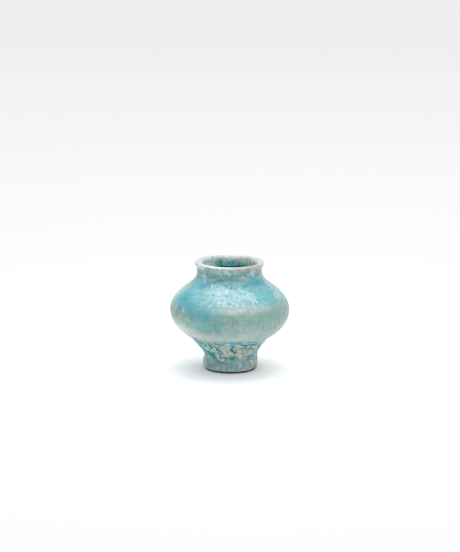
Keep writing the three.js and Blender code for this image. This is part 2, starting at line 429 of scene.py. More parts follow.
collar = turned("thrown_clay_collar", evenly(section("collar_and_lip"), collar_step), closed=True)
number, angle, radius, height = vertices_of(collar)
radius, height = by_hand(angle, radius, height)
move(collar, angle, radius, height, corner_angle=50)
collar.data.materials.append(clay)
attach(collar, "root")
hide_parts("collar_and_lip")

# Outside glaze
# An alkaline glaze, turquoise where it is clear, that runs over the lip and down to a ragged edge
# on the foot. Age has dulled it to a grey green film, silvery flakes sit on the shoulder, and
# a buff crust lies round the stem. The coat is a closed shell over the clay, with all its relief.

coat_step = 0.5 * mm
stem_step = 0.3 * mm  # finer round the stem, where the crust has flaked
stem_run = 27 * mm
coat_clay_step = 3.0 * mm
neck_level = 60 * mm  # above it, the coat's inmost point is its end inside the lip
edge_level = 1.0 * mm  # where the glaze ends if nothing draws its edge up
edge_points = 30  # points of the outline, enough to reach past its lower edge
# Bare notches: angle, half width in degrees and share of the rise.
edge_notches = [(77, 28, 1.0), (128, 12, 0.22), (205, 16, 0.4), (251, 9, 0.16), (292, 8, 0.1)]
notch_rise = 6.8 * mm
edge_fray = 0.55 * mm
edge_fray_size = 3.5 * mm
edge_fray_most = 66  # the angle where the edge is most ragged
edge_droop = 0.3 * mm
edge_reach = 24 * mm  # the outline is drawn up towards a notch over this much of its run
edge_roll = 0.9 * mm  # the coat thins to nothing over this much
edge_thickness = 0.7 * mm
throwing_pitch = 2.3 * mm
throwing_depth = 0.05 * mm
grain_depth = 0.05 * mm
crust_thickness = 0.42 * mm
crust_grain = 0.12 * mm
flaked_depth = 0.12 * mm
belly_start = 28 * mm  # from here up the throwing lines show in full and no relief stands out
wall_end = 66 * mm  # where the lip begins, and the relief fades out towards the end of the coat
stem_from = (9 * mm, 11 * mm)  # between these two pairs lies the clear glass round the stem
stem_to = (21 * mm, 27 * mm)
stem_sway = 1.2 * mm
aged_below = (9 * mm, 12 * mm)  # the foot and the collar have old blotches
aged_above = (61 * mm, 65 * mm)
hem_highlight_from = (0.3 * mm, 0.6 * mm)  # how far the painted highlight along the rolled hem lies from the lower edge
hem_highlight_to = (1.1 * mm, 1.5 * mm)
crest_light_from = (1.4 * mm, 3 * mm)  # how far the worn crest, partly a painted highlight, lies from the end inside the lip
crest_light_to = (5.8 * mm, 7.4 * mm)
crest_light_most = -12  # the angle where the lip is most worn and its painted highlight brightest

# Tones of the glaze as time has left it, each part from 0 to 255.
tones = {
    "film": (134, 165, 157), "ash": (156, 168, 164), "smoke": (130, 144, 141), "slate": (98, 148, 150),
    "sea": (106, 176, 184), "turquoise": (98, 172, 183), "lagoon": (78, 158, 171),
    "teal": (30, 124, 120), "mist": (138, 192, 200), "silver": (172, 208, 216),
    "shell": (172, 196, 191), "chalk": (178, 187, 179), "sand": (186, 181, 163),
    "moss": (130, 161, 150), "patina": (98, 152, 150), "pewter": (120, 149, 153),
    "frost": (180, 193, 187), "sky": (40, 140, 170), "deep": (42, 100, 114), "pearl": (200, 214, 208),
    "mint": (150, 204, 198), "dusk": (106, 128, 135), "bright": (108, 192, 206), "dim": (48, 84, 86),
    "well": (80, 170, 190), "neck": (134, 188, 192), "haze": (194, 222, 220), "reef": (80, 148, 152),
    "painted_inner_shadow": (26, 58, 58), "cream": (212, 207, 195), "leaf": (100, 138, 112), "bisque": (204, 206, 196),
    "milk": (210, 223, 220),
}
# Washes of those tones, laid one over the other: angle from the front going right, height
# in millimetres, half width in degrees, half height in millimetres, strength and tone.
washes = [
    (0, 55, 360, 6.5, 0.85, "sea"), (0, 61.6, 360, 1.6, 0.6, "turquoise"),
    (0, 66.5, 360, 3.2, 0.85, "patina"), (0, 69.6, 360, 1.2, 0.6, "film"),
    (0, 71.8, 360, 1.3, 0.75, "shell"), (0, 28, 360, 3.2, 0.5, "chalk"), (0, 16, 360, 6.5, 0.5, "sea"),
    (0, 5, 360, 4.5, 0.8, "pewter"), (0, 40, 360, 3, 0.35, "moss"),
    # Left of the front. Near -85 degrees, at the side as seen from the front, the grey and pale washes
    # are partly painted reflection of the sky at that grazing edge.
    (-60, 54, 16, 8, 0.9, "turquoise"), (-50, 57.5, 10, 3.4, 0.7, "bright"),
    (-57, 48, 13, 4, 1, "lagoon"), (-43, 47, 8, 4, 0.8, "lagoon"), (-66, 44, 9, 3, 0.7, "slate"),
    (-52, 43.5, 9, 2.2, 0.7, "slate"), (-85, 56, 12, 9, 0.9, "shell"), (-40, 56, 8, 6, 0.5, "mist"),
    (-26, 43.8, 8, 3, 1, "lagoon"), (-38, 42.5, 9, 2.4, 0.8, "slate"), (-12, 38, 6, 6, 0.8, "slate"),
    (-30, 44.5, 6, 1.8, 0.5, "slate"), (-22, 36.5, 8, 4.5, 0.6, "patina"),
    (-32, 37, 8, 3.5, 0.4, "sea"), (-63, 41, 12, 2.4, 0.7, "smoke"), (-78, 43, 1.3, 3, 0.7, "slate"),
    (-74, 42, 1.2, 3.5, 0.6, "shell"), (-70, 43, 1.2, 3, 0.7, "slate"),
    (-66, 41.5, 1.2, 3, 0.5, "shell"), (-62, 43, 1.3, 2.6, 0.6, "slate"), (-84, 41, 8, 3, 0.9, "smoke"),
    (-78, 35, 10, 6, 0.8, "ash"), (-57, 32.5, 15, 3.6, 0.85, "chalk"), (-36, 28, 18, 3.2, 0.8, "chalk"),
    (-70, 26, 9, 3, 0.6, "ash"), (-40, 60, 10, 2.2, 0.7, "lagoon"), (-48, 65, 6, 1.6, 0.7, "mist"),
    (-38, 66, 9, 2.6, 0.7, "slate"), (-84, 66, 9, 4, 0.9, "ash"), (-68, 67, 10, 3, 0.5, "pewter"),
    (-80, 60, 9, 3, 0.6, "pewter"),
    # Front of the shoulder
    (-13, 57.5, 16, 4.2, 1, "silver"), (3, 52.5, 20, 4.5, 0.75, "mist"), (-4, 57, 10, 4, 0.3, "silver"),
    (11, 56, 13, 4, 0.7, "mist"), (19, 54.5, 9, 5, 0.6, "mint"), (8, 47.6, 15, 2.4, 0.9, "frost"),
    (25, 47.5, 11, 2.6, 0.75, "frost"), (-8, 46.5, 10, 2.2, 0.5, "shell"), (-25, 54, 8, 6, 0.6, "mist"),
    (26, 53.5, 8, 5, 0.7, "mist"), (-17, 61, 7, 1.2, 0.5, "mist"), (8, 61.5, 14, 1.6, 0.2, "mist"),
    (0, 64.3, 18, 1.6, 0.5, "patina"), (-8, 69, 16, 1.4, 0.6, "shell"),
    (-11, 70.8, 5, 1.4, 0.8, "pearl"), (-2, 69.6, 3, 1.4, 0.6, "shell"),
    (33, 67.5, 20, 2.2, 0.6, "film"), (14, 43.5, 11, 3, 0.5, "film"), (0, 41.5, 9, 2, 0.5, "moss"),
    (17, 32, 12, 4, 0.5, "chalk"), (4, 35.5, 10, 4, 0.4, "film"),
    # Right of the front. Near 85 degrees, at the side as seen from the front, the grey and pale washes
    # are partly painted reflection of the sky at that grazing edge.
    (48, 56.5, 16, 6, 0.9, "sea"), (50, 61.3, 15, 1.8, 1, "lagoon"), (70, 61, 12, 2, 0.7, "lagoon"),
    (36, 51, 9, 3.4, 0.6, "sea"), (54, 54.5, 8, 4, 0.4, "turquoise"), (62, 49, 8, 3, 0.5, "film"),
    (81, 57, 9, 8, 0.9, "shell"), (80, 46.5, 9, 4.5, 0.7, "ash"), (54, 42, 18, 4, 0.8, "moss"),
    (86, 41, 6, 7, 0.7, "smoke"), (48, 34, 20, 5, 0.5, "film"), (80, 34, 12, 6, 0.6, "ash"),
    (74, 68, 12, 3, 0.8, "ash"), (86, 66.5, 8, 4, 0.9, "ash"), (28, 68.3, 14, 1.6, 0.6, "patina"),
    (34, 72, 25, 1.5, 1, "sand"), (36, 71.8, 24, 1.5, 1, "sand"), (17, 73, 16, 0.6, 0.7, "bisque"),
    (30, 65.7, 3.5, 1.4, 0.7, "sand"), (66, 71.4, 18, 2, 0.7, "sand"), (86, 71, 10, 3, 0.8, "ash"),
    # Stem and foot
    (-5, 26.5, 24, 2.2, 0.6, "shell"), (15, 26, 12, 2.5, 0.5, "shell"), (44, 26, 14, 3.5, 0.5, "film"),
    (66, 25, 14, 4, 0.7, "ash"), (-50, 22.5, 10, 2, 0.9, "turquoise"),
    (-32, 20.8, 10, 1.6, 0.8, "slate"), (-54, 16, 14, 5, 0.9, "turquoise"),
    (-46, 14, 9, 3, 0.9, "lagoon"), (-36, 11, 9, 2.8, 1, "teal"), (-48, 11.5, 7, 2.4, 0.7, "slate"),
    (24, 20.5, 8, 1.6, 0.8, "lagoon"), (13, 23, 6, 1.6, 0.8, "lagoon"), (0, 10.6, 15, 1.1, 1, "slate"),
    (0, 10.2, 9, 0.8, 0.7, "teal"), (40, 18, 12, 3, 0.6, "slate"), (60, 16, 14, 4, 0.6, "sea"),
    (-66, 8.5, 10, 2.2, 0.8, "chalk"), (-36, 6, 12, 4, 0.8, "slate"), (-20, 5.5, 14, 4, 0.5, "patina"),
    (-50, 4.5, 13, 4.5, 0.85, "dusk"), (-24, 6.2, 10, 1.4, 0.6, "dusk"),
    (30, 5.5, 10, 2.4, 0.5, "dusk"), (51.5, 4.5, 2, 4.5, 0.9, "pearl"), (16, 5.5, 20, 4, 0.5, "film"),
    (-78, 4, 9, 4, 0.8, "ash"), (54, 4.4, 8, 2.2, 0.8, "mist"), (44, 7.4, 8, 1.1, 0.8, "slate"),
    (64, 8.4, 12, 1, 0.8, "slate"),
    # Back
    (112, 56, 22, 7, 0.7, "turquoise"), (108, 47, 14, 4, 0.8, "lagoon"), (132, 43, 12, 3, 0.6, "slate"),
    (150, 52, 14, 5, 0.6, "mist"), (174, 56, 20, 5, 0.9, "silver"), (186, 50, 18, 4, 0.7, "mist"),
    (176, 46.5, 18, 2.4, 0.8, "frost"), (204, 45, 12, 4, 0.9, "lagoon"), (224, 56, 16, 6, 0.6, "mist"),
    (242, 54, 14, 7, 0.9, "turquoise"), (250, 47, 12, 4, 0.8, "lagoon"), (262, 42, 10, 4, 0.5, "slate"),
    (126, 33, 14, 5, 0.6, "patina"), (190, 35, 16, 5, 0.6, "patina"), (156, 30, 18, 4, 0.7, "chalk"),
    (228, 31, 20, 5, 0.8, "chalk"), (150, 61.2, 24, 1.8, 0.8, "lagoon"),
    (205, 61.2, 16, 1.6, 0.7, "lagoon"), (180, 72.2, 80, 2.4, 0.9, "pearl"),
    (140, 71.5, 14, 1.6, 0.6, "sand"), (170, 68, 30, 2.5, 0.5, "film"),
    (118, 18, 14, 5, 0.8, "turquoise"), (124, 11, 9, 3, 0.9, "teal"), (196, 14, 9, 6, 0.9, "lagoon"),
    (198, 11, 7, 3, 0.8, "teal"), (258, 15, 12, 5, 0.7, "turquoise"), (160, 22, 18, 3, 0.5, "sea"),
    (232, 22, 18, 3, 0.5, "sea"), (150, 5, 26, 4, 0.5, "slate"), (236, 5, 22, 4, 0.4, "film"),
    # Smaller places from the collar down to the foot
    (15, 45.6, 9, 1.8, 0.75, "frost"), (37, 48, 12, 2.4, 0.45, "frost"),
    (-58, 30.5, 12, 3, 0.9, "bisque"), (-44, 26.6, 10, 1.8, 0.8, "bisque"),
    (-8, 60.6, 14, 1.6, 0.5, "lagoon"), (0, 25.6, 70, 1.6, 0.45, "frost"),
    (-38, 24.4, 12, 1.2, 0.6, "frost"), (3, 21.4, 12, 1, 0.7, "frost"), (34, 4.6, 16, 3, 0.45, "ash"),
    # Specks under the collar
    (-31, 60.2, 3, 1, 0.5, "slate"), (1, 59.8, 2.5, 1.2, 0.7, "lagoon"),
    (10, 59.6, 2, 1, 0.5, "lagoon"), (-8, 60.8, 5, 0.7, 0.5, "lagoon"),
    (20, 59.8, 2.5, 1.2, 0.5, "lagoon"),
    # Drips left of the front
    (-61, 45.5, 1.6, 2.2, 0.7, "smoke"), (-56, 43.5, 1.4, 2.4, 0.7, "slate"),
    (-51, 45, 1.2, 2, 0.6, "shell"), (-47, 43, 1.4, 2.2, 0.6, "smoke"),
    (-66, 46, 1.3, 2.4, 0.6, "shell"),
    # More specks under and on the collar
    (-27, 62, 4, 0.9, 0.9, "lagoon"), (-6, 62.3, 4, 0.7, 0.6, "shell"),
    (-16, 63.4, 6, 0.9, 0.7, "teal"), (24, 65.4, 5, 1.8, 0.6, "chalk"), (6, 63.6, 5, 0.9, 0.5, "slate"),
    (15, 62.4, 4, 0.7, 0.5, "shell"), (-33, 66.5, 4, 1.4, 0.6, "patina"),
    (26, 60.8, 8, 0.8, 0.7, "lagoon"), (44, 65.6, 4, 1.3, 0.6, "mist"),
    # Tongues across the pale side on the right
    (68, 52.5, 6, 1.6, 0.6, "shell"), (67, 58.6, 4, 1.4, 0.5, "film"), (76, 56, 5, 1.4, 0.6, "sea"),
    (78, 61, 4, 1.2, 0.5, "sea"), (91, 54, 4, 1.5, 0.6, "sea"), (74, 49.5, 5, 1.5, 0.5, "sea"),
    # The rim
    (-84, 71.8, 34, 1.8, 1, "milk"), (104, 71.9, 28, 2, 1, "cream"), (80, 72.4, 14, 1.2, 0.8, "cream"),
    (-30, 72.6, 28, 0.9, 0.8, "milk"),
]
# Where silvery flakes sit, in the same terms but for the tone.
silver_patches = [
    (-14, 58.2, 19, 3.4, 1), (-22, 56, 8, 3.6, 0.7), (8, 59.4, 14, 2, 0.4), (8, 57, 17, 4.2, 0.75),
    (-4, 52.5, 17, 3.8, 0.85), (12, 51.5, 16, 3.2, 0.65), (26, 54, 9, 4, 0.7), (-24, 50.5, 10, 3, 0.5),
    (-10, 47.8, 12, 2, 0.4), (8, 47.6, 15, 2, 0.45), (28, 48.5, 9, 1.8, 0.35), (-52, 64.5, 9, 2.2, 0.7),
    (-45, 61.5, 7, 2, 0.5), (46, 68, 13, 2, 0.6), (-38, 54, 8, 4.5, 0.35), (42, 51, 8, 2, 0.4),
    (4, 61.5, 14, 1.4, 0.4), (-8, 69.4, 14, 1.2, 0.5), (-32, 63.6, 4, 1.3, 0.5),
    (-20, 61.9, 3, 0.8, 0.4), (-7, 62.4, 4, 0.7, 0.45), (12, 62.6, 5, 0.7, 0.45),
    (29, 63.6, 5, 1, 0.45), (125, 52, 16, 5, 0.6), (172, 54, 22, 5.5, 0.9), (222, 51, 18, 5, 0.7),
    (268, 55, 12, 4, 0.4),
]
# Gaps between them under the collar, where the clear glaze shows.
silver_gaps = [
    (1, 59.8, 2.5, 1.2, 0.8), (10, 59.6, 2, 1, 0.6), (-8, 60.8, 5, 0.7, 0.6), (20, 59.8, 2.5, 1.2, 0.6),
]
# Where the buff crust lies.
crust_patches = [
    (-8, 17.4, 9, 3.8, 1), (-3, 14.2, 9, 2.6, 1), (-32, 15.4, 5, 0.6, 0.9), (12, 20, 5, 2.2, 0.9),
    (26, 16.4, 9, 2.6, 1), (4, 13.2, 7, 1.2, 0.8), (-23, 12.9, 2.6, 1.8, 0.85),
    (-16, 9.6, 3.5, 1, 0.85), (14, 17.2, 8, 2.8, 1), (19, 13.2, 10, 2.5, 1), (33, 14.2, 13, 2.2, 1),
    (46, 13.6, 7, 1.9, 0.8), (-24, 23.5, 8, 0.7, 0.6), (-40, 24.4, 7, 0.5, 0.6),
    (22, 22.8, 8, 0.5, 0.6), (60, 15, 9, 2.6, 0.6), (-66, 8.4, 10, 1.4, 0.5), (95, 14, 18, 5, 0.8),
    (140, 15, 20, 6, 0.9), (172, 12, 12, 4, 0.7), (222, 15, 18, 6, 0.95), (285, 18, 12, 4, 0.6),
    (128, 22, 16, 1.2, 0.7), (238, 23, 14, 1.2, 0.7),
]
# Strokes round the stem, dark where the crust has flaked down to the glass and light, partly painted
# highlight, along broken rims: angle and height of both ends, half the width in millimetres, and tone.
strokes = [
    (-50, 23.4, -58, 19.6, 2, "sky"), (-58, 19.6, -54, 13.4, 1.8, "lagoon"),
    (-54, 14.4, -44, 12.6, 1.7, "teal"), (-44, 12.6, -33, 9.2, 1.7, "teal"),
    (-48, 22.8, -37, 20.6, 1.2, "teal"), (-37, 20.6, -31, 19.3, 0.9, "deep"),
    (-31, 21.2, -28.5, 20.2, 0.4, "deep"), (-34.5, 19.4, -31.5, 18.2, 0.55, "deep"),
    (-27, 20.2, -22, 17.2, 0.6, "deep"), (-22, 17.2, -18, 15.9, 0.5, "deep"),
    (-15.5, 21.4, -7.5, 22.8, 0.5, "slate"), (7.5, 19.8, 2.8, 19.2, 0.5, "deep"),
    (2.8, 19.2, 1.8, 17.4, 0.55, "deep"), (1.8, 17.4, 5, 15.9, 0.6, "deep"),
    (-15.5, 16.6, -13, 13.2, 0.5, "leaf"), (-21, 15.2, -19, 13.2, 0.8, "leaf"),
    (17, 14.4, 29, 13.6, 0.35, "leaf"), (33, 17.4, 35, 14.8, 0.4, "film"),
    (-4, 19.6, 0.5, 19.2, 0.7, "shell"), (-9, 16.4, -4.5, 15.6, 0.35, "film"),
    (10.5, 18.6, 13, 16.2, 0.35, "film"), (26, 15.6, 27.5, 12.8, 0.35, "film"),
    (5, 15.9, 10.5, 14.8, 0.7, "deep"), (10.5, 23.5, 12.5, 23.3, 1, "lagoon"),
    (-13, 11, -5, 10.2, 0.7, "teal"), (-5, 10.2, 6, 10.3, 0.8, "teal"),
    (6, 10.3, 14, 10.8, 0.7, "teal"), (14, 10.2, 20, 8.9, 0.5, "slate"),
    (16.5, 21.2, 24, 20.7, 0.4, "deep"), (24, 20.7, 26.5, 18.4, 0.4, "deep"),
    (26.5, 18.4, 17, 18, 0.45, "deep"), (26.5, 20.6, 34, 20.8, 0.4, "deep"),
    (34, 20.8, 36, 18.2, 0.4, "deep"), (36, 18.2, 27.5, 17.2, 0.4, "deep"),
    (37, 20.4, 44, 19.4, 0.45, "deep"), (36.5, 17, 43, 16.6, 0.4, "deep"),
    (45, 19.6, 50, 17.4, 0.4, "deep"), (45, 16.4, 52, 14.6, 0.45, "deep"),
    (52, 20.4, 58, 18.8, 0.4, "deep"), (58, 17.6, 66, 15.8, 0.45, "deep"),
    (54, 13.4, 62, 12.2, 0.45, "deep"), (64, 19.6, 72, 17.6, 0.4, "deep"),
    (52, 11.6, 60, 10.6, 0.5, "deep"), (56, 16.2, 62, 14.6, 0.35, "pearl"),
    (56, 21.4, 66, 20.8, 0.35, "pearl"), (66, 13.4, 74, 12.2, 0.4, "slate"),
    (44, 11, 49, 10, 0.7, "deep"), (60, 8.8, 70, 7.8, 0.7, "deep"), (51, 9.4, 58, 9.2, 0.4, "slate"),
    (-29, 8.6, -21, 7.3, 0.35, "deep"), (-21, 7.3, -13, 6.9, 0.35, "deep"),
    # The two dark strokes from 40 to 43.5 degrees, low on the foot, are painted shadow along the glaze's
    # edge beside the bare notch.
    (-13, 6.9, -5, 7.7, 0.3, "slate"), (40, 8.8, 42.5, 6.2, 0.55, "deep"),
    (42.5, 6.2, 43.5, 3.8, 0.5, "deep"), (-51, 19.4, -49, 16.2, 0.45, "pearl"),
    (-49, 16.2, -39, 14.6, 0.4, "pearl"), (-46, 24.3, -35, 21.9, 0.35, "pearl"),
    (-38, 21.9, -37, 18.6, 0.35, "pearl"), (-30, 20.4, -26, 18, 0.35, "pearl"),
    (-24, 21.4, -18.5, 18.4, 0.35, "pearl"), (19.5, 19.6, 23.5, 19.4, 0.5, "pearl"),
    (29, 19.2, 33, 19.1, 0.5, "pearl"), (38.5, 18.5, 43, 18, 0.45, "pearl"),
    (20, 22.3, 31, 22, 0.35, "pearl"), (-27, 9.6, -18, 8.5, 0.35, "pearl"),
    (48.5, 7.6, 51.5, 5.4, 0.45, "pearl"), (51.5, 5.4, 48, 2.6, 0.45, "pearl"),
    (-30, 11.6, -24, 9.6, 0.35, "pearl"), (48, 18.6, 53, 16.4, 0.4, "pearl"),
    (105, 16, 114, 14.4, 0.5, "deep"), (132, 18, 142, 16.6, 0.5, "deep"),
    (142, 16.6, 147, 13.8, 0.5, "deep"), (160, 14, 152, 11.8, 0.5, "deep"),
    (214, 18.4, 222, 16.6, 0.6, "deep"), (222, 16.6, 219, 14.2, 0.5, "deep"),
    (233, 13.4, 242, 15, 0.5, "deep"), (168, 20, 178, 21.5, 0.5, "deep"),
    (148, 19.4, 158, 18.2, 0.4, "pearl"), (228, 19.6, 236, 18, 0.4, "pearl"),
    (184, 17.4, 178, 14, 0.4, "pearl"), (246, 19, 254, 17.2, 0.5, "deep"),
]
stroke_round = 20  # millimetres, the stem's radius where the strokes lie


def cover(angle, height, patches):
    """How strongly a list of patches covers each point, from 0 to 1, with soft edges."""
    total = np.zeros(len(angle))
    for at, level, half_angle, half_height, strength in patches:
        distance = np.hypot(away_from(angle, at) / half_angle, (height / mm - level) / half_height)
        total = np.maximum(total, strength * fall(distance, 0.35, 1.75))
    return total


def struck(angle, height, start_angle, start, end_angle, end, half_width):
    """How strongly a stroke covers each point, from 0 to 1."""
    across = np.radians(away_from(angle, start_angle)) * stroke_round
    up = height / mm - start
    run, climb = math.radians(end_angle - start_angle) * stroke_round, end - start
    part = np.clip((across * run + up * climb) / (run**2 + climb**2), 0, 1)
    distance = np.hypot(across - part * run, up - part * climb) / half_width
    return fall(distance, 0.7, 1.6)


def washed(angle, height, laid_washes, strength):
    """The colour of each point once all the washes are laid, in the shader's terms."""
    tint = np.tile(paint(*tones["film"]), (len(angle), 1))
    for *patch, tone in laid_washes:
        laid = np.clip(cover(angle, height, [patch]) * strength, 0, 1)[:, None]
        tint = tint * (1 - laid) + np.array(paint(*tones[tone])) * laid
    return tint


def normals_of(outline):
    """The direction that faces right of the way an outline runs, at each point."""
    ahead = np.gradient(outline, axis=0)
    ahead = ahead / np.hypot(*ahead.T)[:, None]
    return np.stack([ahead[:, 1], -ahead[:, 0]], 1)


drift_size = 7 * mm  # the sizes of the four kinds of unevenness that bend its patches and runs
sway_size = 5 * mm
small_size = 1.6 * mm
tiny_size = 0.8 * mm

coat_section = section("outside_glaze")
top_inner = int(np.argmin(np.where(coat_section[:, 1] > neck_level, coat_section[:, 0], 1)))
coat_face = smoothly(coat_section[: top_inner + 1], coat_step, stem_step, stem_run)
coat_back = smoothly(coat_section[top_inner + 1 :], coat_clay_step)
coat = turned("weathered_outside_glaze", np.concatenate([coat_face, coat_back]), closed=True)
number, angle, radius, height = vertices_of(coat)
outer = number < len(coat_face)

# The lower edge: each vertical line of the coat is drawn up to where the glaze stopped running.
ragged = uneven(places_of(angle, 16 * mm, 0 * angle), edge_fray_size, 4, seed=3)
raggedness = 0.35 + rise(np.cos(np.radians(angle - edge_fray_most)), 0.7, 0.95)
edge = sum(
    part * np.exp(-((np.abs(away_from(angle, at)) / half) ** 6)) for at, half, part in edge_notches
)
edge = np.maximum(edge * notch_rise + edge_fray * ragged * raggedness, -edge_droop)
all_points = len(coat_face) + len(coat_back)
for face, chosen in ((coat_face, outer), (coat_back[::-1], ~outer)):
    along = np.append(0, np.cumsum(np.hypot(*np.diff(face, axis=0).T)))
    facing = normals_of(face)
    index = number[chosen] if face is coat_face else all_points - 1 - number[chosen]
    run = along[index]
    start = np.interp(edge_level + edge[chosen], face[:edge_points, 1], along[:edge_points])
    run = np.clip(run + start * np.clip(1 - run / edge_reach, 0, 1) ** 2, 0, along[-1])
    radius[chosen] = np.interp(run, along, face[:, 0])
    height[chosen] = np.interp(run, along, face[:, 1])
    if face is coat_face:
        out_radius = np.interp(run, along, facing[:, 0])
        out_height = np.interp(run, along, facing[:, 1])
        from_edge = run - start
        to_end = along[-1] - run

outer_angle, outer_height = angle[outer], height[outer]
place = places_of(outer_angle, radius[outer], outer_height)
drift = uneven(place, drift_size, 3, seed=4)
sway = uneven(place, sway_size, 3, seed=5)
small = uneven(place, small_size, 3, seed=6)
tiny = uneven(place, tiny_size, 2, seed=7)
at_angle = outer_angle + 4 * drift + 2 * small
at_height = outer_height + (0.9 * sway + 0.4 * small) * mm
stem_angle = outer_angle + 1.2 * drift + 1.5 * small + 1.0 * tiny
stem_height = outer_height + (0.3 * sway + 0.3 * small + 0.3 * tiny) * mm
laid_strokes = [(struck(stem_angle, stem_height, *stroke), tone) for *stroke, tone in strokes]
flaked = np.max([laid for laid, tone in laid_strokes if tone == "deep"], axis=0)
bared = np.max([laid for laid, tone in laid_strokes], axis=0)
crust = cover(stem_angle, stem_height, crust_patches)
crust = crust * (1 - bared) + (0.45 * small + 0.3 * tiny) * rise(crust, 0, 0.3)
crust = rise(crust, 0.2, 0.8)
stem = rise(outer_height, *stem_from) * fall(outer_height + stem_sway * sway, *stem_to)
# The worn crest of the lip, near white, is partly painted highlight.
wear_and_highlight = rise(to_end, *crest_light_from) * fall(to_end, *crest_light_to)
wear_and_highlight = wear_and_highlight * rise(np.cos(np.radians(outer_angle - crest_light_most)), 0.4, 0.95)
masks = {
    "crust": crust,
    "stem": stem * (1 - 0.8 * bared),
    "aged": np.maximum(rise(outer_height, *aged_above), fall(outer_height, *aged_below)),
    "silver": cover(at_angle, at_height, silver_patches) * (1 - cover(at_angle, at_height, silver_gaps)),
    # a painted highlight along the rolled lower edge
    "hem_highlight": fall(from_edge, *hem_highlight_to) * rise(from_edge, *hem_highlight_from),
    "wear_and_highlight": wear_and_highlight * fall(outer_angle, -1, 12),
}
for name, values in masks.items():
    whole = np.zeros(len(number))
    whole[outer] = values
    store(coat, name, whole)
tint = np.tile(paint(*tones["film"]), (len(number), 1))
tint[outer] = washed(at_angle, at_height, washes, np.clip(1 + 0.5 * small, 0, 1.3))
for laid, tone in laid_strokes:
    laid = 0.9 * laid[:, None]
    tint[outer] = tint[outer] * (1 - laid) + np.array(paint(*tones[tone])) * laid
store(coat, "tint", tint)

lines = np.sin(2 * math.pi * outer_height / throwing_pitch + np.radians(outer_angle) + 1.5 * drift)
relief = throwing_depth * (lines - 1) * rise(outer_height, 18 * mm, belly_start)
relief = relief + grain_depth * (small - 0.6) + crust * (crust_thickness + crust_grain * tiny)
relief = relief - flaked_depth * flaked
wall = outer_height < wall_end
relief = np.where(wall, relief, np.minimum(relief, 0) * rise(to_end, 0, 4 * mm))
relief = np.where((outer_height > belly_start) & wall, np.minimum(relief, 0), relief)
rolled = np.clip(1 - from_edge / edge_roll, 0, 1)
relief = relief * (1 - rolled) - edge_thickness * (1 - np.sqrt(1 - rolled**2))
radius[outer] = radius[outer] + relief * out_radius
height[outer] = height[outer] + relief * out_height
radius, height = by_hand(angle, radius, height)
move(coat, angle, radius, height, corner_angle=62)


def swirled(tree, place):
    """The place bent about a little, so that nothing drawn from it has straight edges."""
    swirl = node(tree, "TexNoise", {"Vector": place, "Scale": 1 / (1.6 * mm), "Detail": 1.0}).outputs[1]
    bend = node(tree, "VectorMath", {0: swirl, 1: (0.5, 0.5, 0.5)}, operation="SUBTRACT").outputs[0]
    bend = node(tree, "VectorMath", {0: bend, "Scale": 1.1 * mm}, operation="SCALE").outputs[0]
    return node(tree, "VectorMath", {0: place, 1: bend}, operation="ADD").outputs[0]


def patched(tree, colour, cloud, mask, *layers):
    """Patches where a cloud is low or high, as far as a mask lets them: from, to, amount, tone."""
    for low, high, amount, patch_colour in layers:
        patch = times(tree, share(tree, cloud, low, high), times(tree, mask, amount))
        colour = blend(tree, patch, colour, paint(*patch_colour))
    return colour


def silvered(tree, colour, silver, bent, patchy):
    """Silvery flakes large and small, chinks of clearer glaze between them, and painted glints of
    highlight.
    """
    flake = 0.0
    for size, least, most, amount in ((2.3 * mm, 0.85, 1.25, 0.45), (1.05 * mm, 0.95, 1.3, 0.6)):
        cells = {"Vector": bent, "Scale": 1 / size, "Smoothness": 0.7}
        scales = node(tree, "TexVoronoi", cells, feature="SMOOTH_F1").outputs["Color"]
        luck = node(tree, "SeparateColor", {0: scales}).outputs
        level = scaled(tree, silver, 0.45, luck[0])
        level = scaled(tree, patchy, 0.5, level)
        flake = scaled(tree, share(tree, level, least, most), amount, flake)
    flake = times(tree, flake, share(tree, silver, 0.1, 0.6))
    chink = times(tree, share(tree, luck[1], 0.45, 0.75), share(tree, silver, 0.15, 0.6))
    clear = {"Saturation": 1.35, "Value": 0.86, "Color": colour}
    clear = node(tree, "HueSaturation", clear).outputs[0]
    colour = blend(tree, times(tree, chink, 0.7), colour, clear)
    sheen = blend(tree, share(tree, patchy, 0.4, 0.6), paint(212, 234, 239), paint(182, 218, 225))
    colour = blend(tree, times(tree, flake, 0.66), colour, sheen)
    # Painted highlight: small near-white glints scattered over the silvery flakes.
    glint_cells = node(tree, "TexVoronoi", {"Vector": bent, "Scale": 1 / (0.95 * mm)}).outputs
    luck = node(tree, "SeparateColor", {0: glint_cells["Color"]}).outputs
    painted_glint = times(tree, share(tree, luck[2], 0.62, 0.8), share(tree, glint_cells["Distance"], 0.6, 0.3))
    painted_glint = times(tree, painted_glint, share(tree, silver, 0.15, 0.75))
    return blend(tree, times(tree, painted_glint, 0.5), colour, paint(232, 245, 248)), flake


